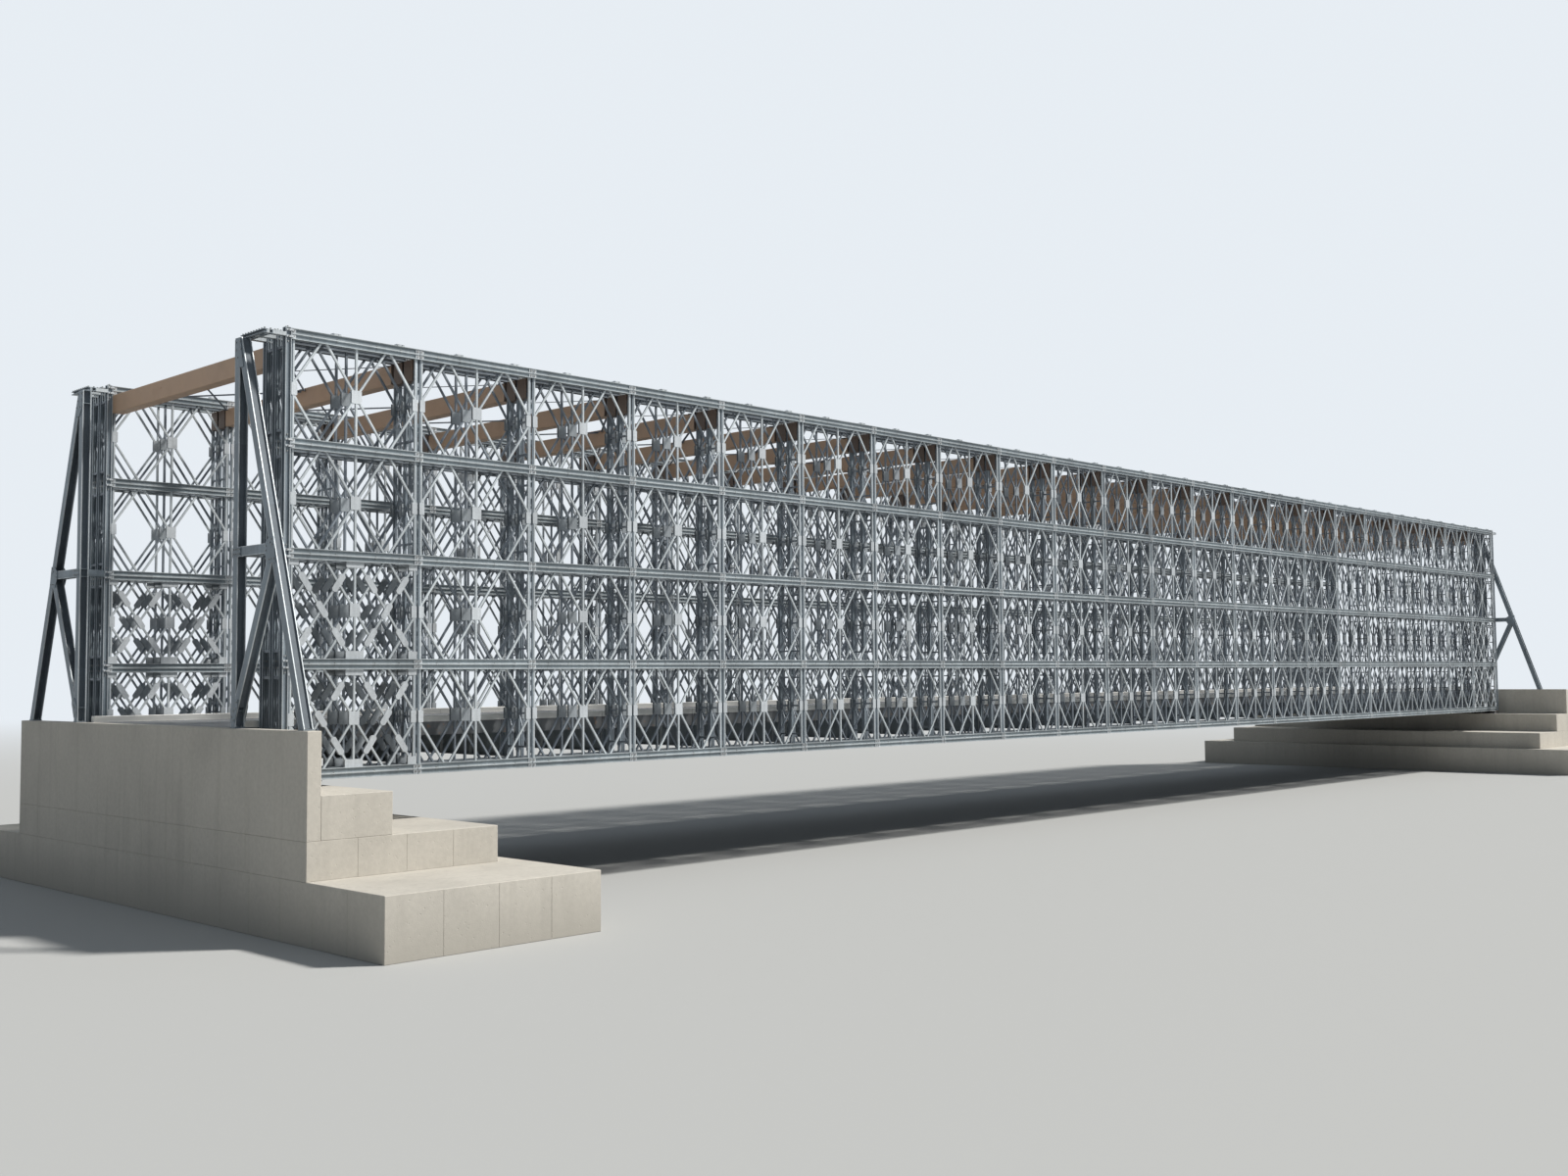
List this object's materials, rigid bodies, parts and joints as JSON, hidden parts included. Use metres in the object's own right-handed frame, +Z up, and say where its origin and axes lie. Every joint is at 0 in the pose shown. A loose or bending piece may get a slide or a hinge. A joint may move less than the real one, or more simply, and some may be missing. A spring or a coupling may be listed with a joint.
{
  "type": "modular panel bridge, as a half size scale model",
  "caption": "Half size model of a through bridge of stacked steel lattice panels, with overhead beams, steel deck, corner A frames and stepped concrete abutments",
  "frame": {"origin": "middle of the bridge, at the underside of the abutment footings", "axes": "+X along the bridge, +Y across it to the far girder in the picture, +Z up"},
  "size_m": [34.348, 9.883, 6.1255],
  "materials": {
    "galvanised_steel": "dull galvanised",
    "frame_steel": "dull galvanised",
    "bearing_steel": "matt",
    "tan_paint": "matt",
    "bracing_steel": "matt",
    "deck_steel": "matt",
    "kerb_paint": "satin",
    "concrete": "rough"
  },
  "bodies": {
    "root": {"south_outer_chords": "galvanised_steel", "south_outer_rising_diagonals": "galvanised_steel", "south_outer_falling_diagonals": "galvanised_steel", "south_middle_chords": "galvanised_steel", "south_middle_rising_diagonals": "galvanised_steel", "south_middle_falling_diagonals": "galvanised_steel", "south_inner_chords": "galvanised_steel", "south_inner_rising_diagonals": "galvanised_steel", "south_inner_falling_diagonals": "galvanised_steel", "south_verticals": "galvanised_steel", "south_top_ties": "galvanised_steel", "north_outer_chords": "galvanised_steel", "north_outer_rising_diagonals": "galvanised_steel", "north_outer_falling_diagonals": "galvanised_steel", "north_middle_chords": "galvanised_steel", "north_middle_rising_diagonals": "galvanised_steel", "north_middle_falling_diagonals": "galvanised_steel", "north_inner_chords": "galvanised_steel", "north_inner_rising_diagonals": "galvanised_steel", "north_inner_falling_diagonals": "galvanised_steel", "north_verticals": "galvanised_steel", "north_top_ties": "galvanised_steel", "west_south_end_posts": "galvanised_steel", "west_south_bearing": "bearing_steel", "west_south_corner_frame": "frame_steel", "west_north_end_posts": "galvanised_steel", "west_north_bearing": "bearing_steel", "west_north_corner_frame": "frame_steel", "east_south_end_posts": "galvanised_steel", "east_south_bearing": "bearing_steel", "east_south_corner_frame": "frame_steel", "east_north_end_posts": "galvanised_steel", "east_north_bearing": "bearing_steel", "east_north_corner_frame": "frame_steel", "overhead_beams": "tan_paint", "transoms": "deck_steel", "deck_units": "deck_steel", "south_kerb": "kerb_paint", "north_kerb": "kerb_paint", "west_abutment": "concrete", "west_footing": "concrete", "east_abutment": "concrete", "east_footing": "concrete"}
  },
  "joints": []
}
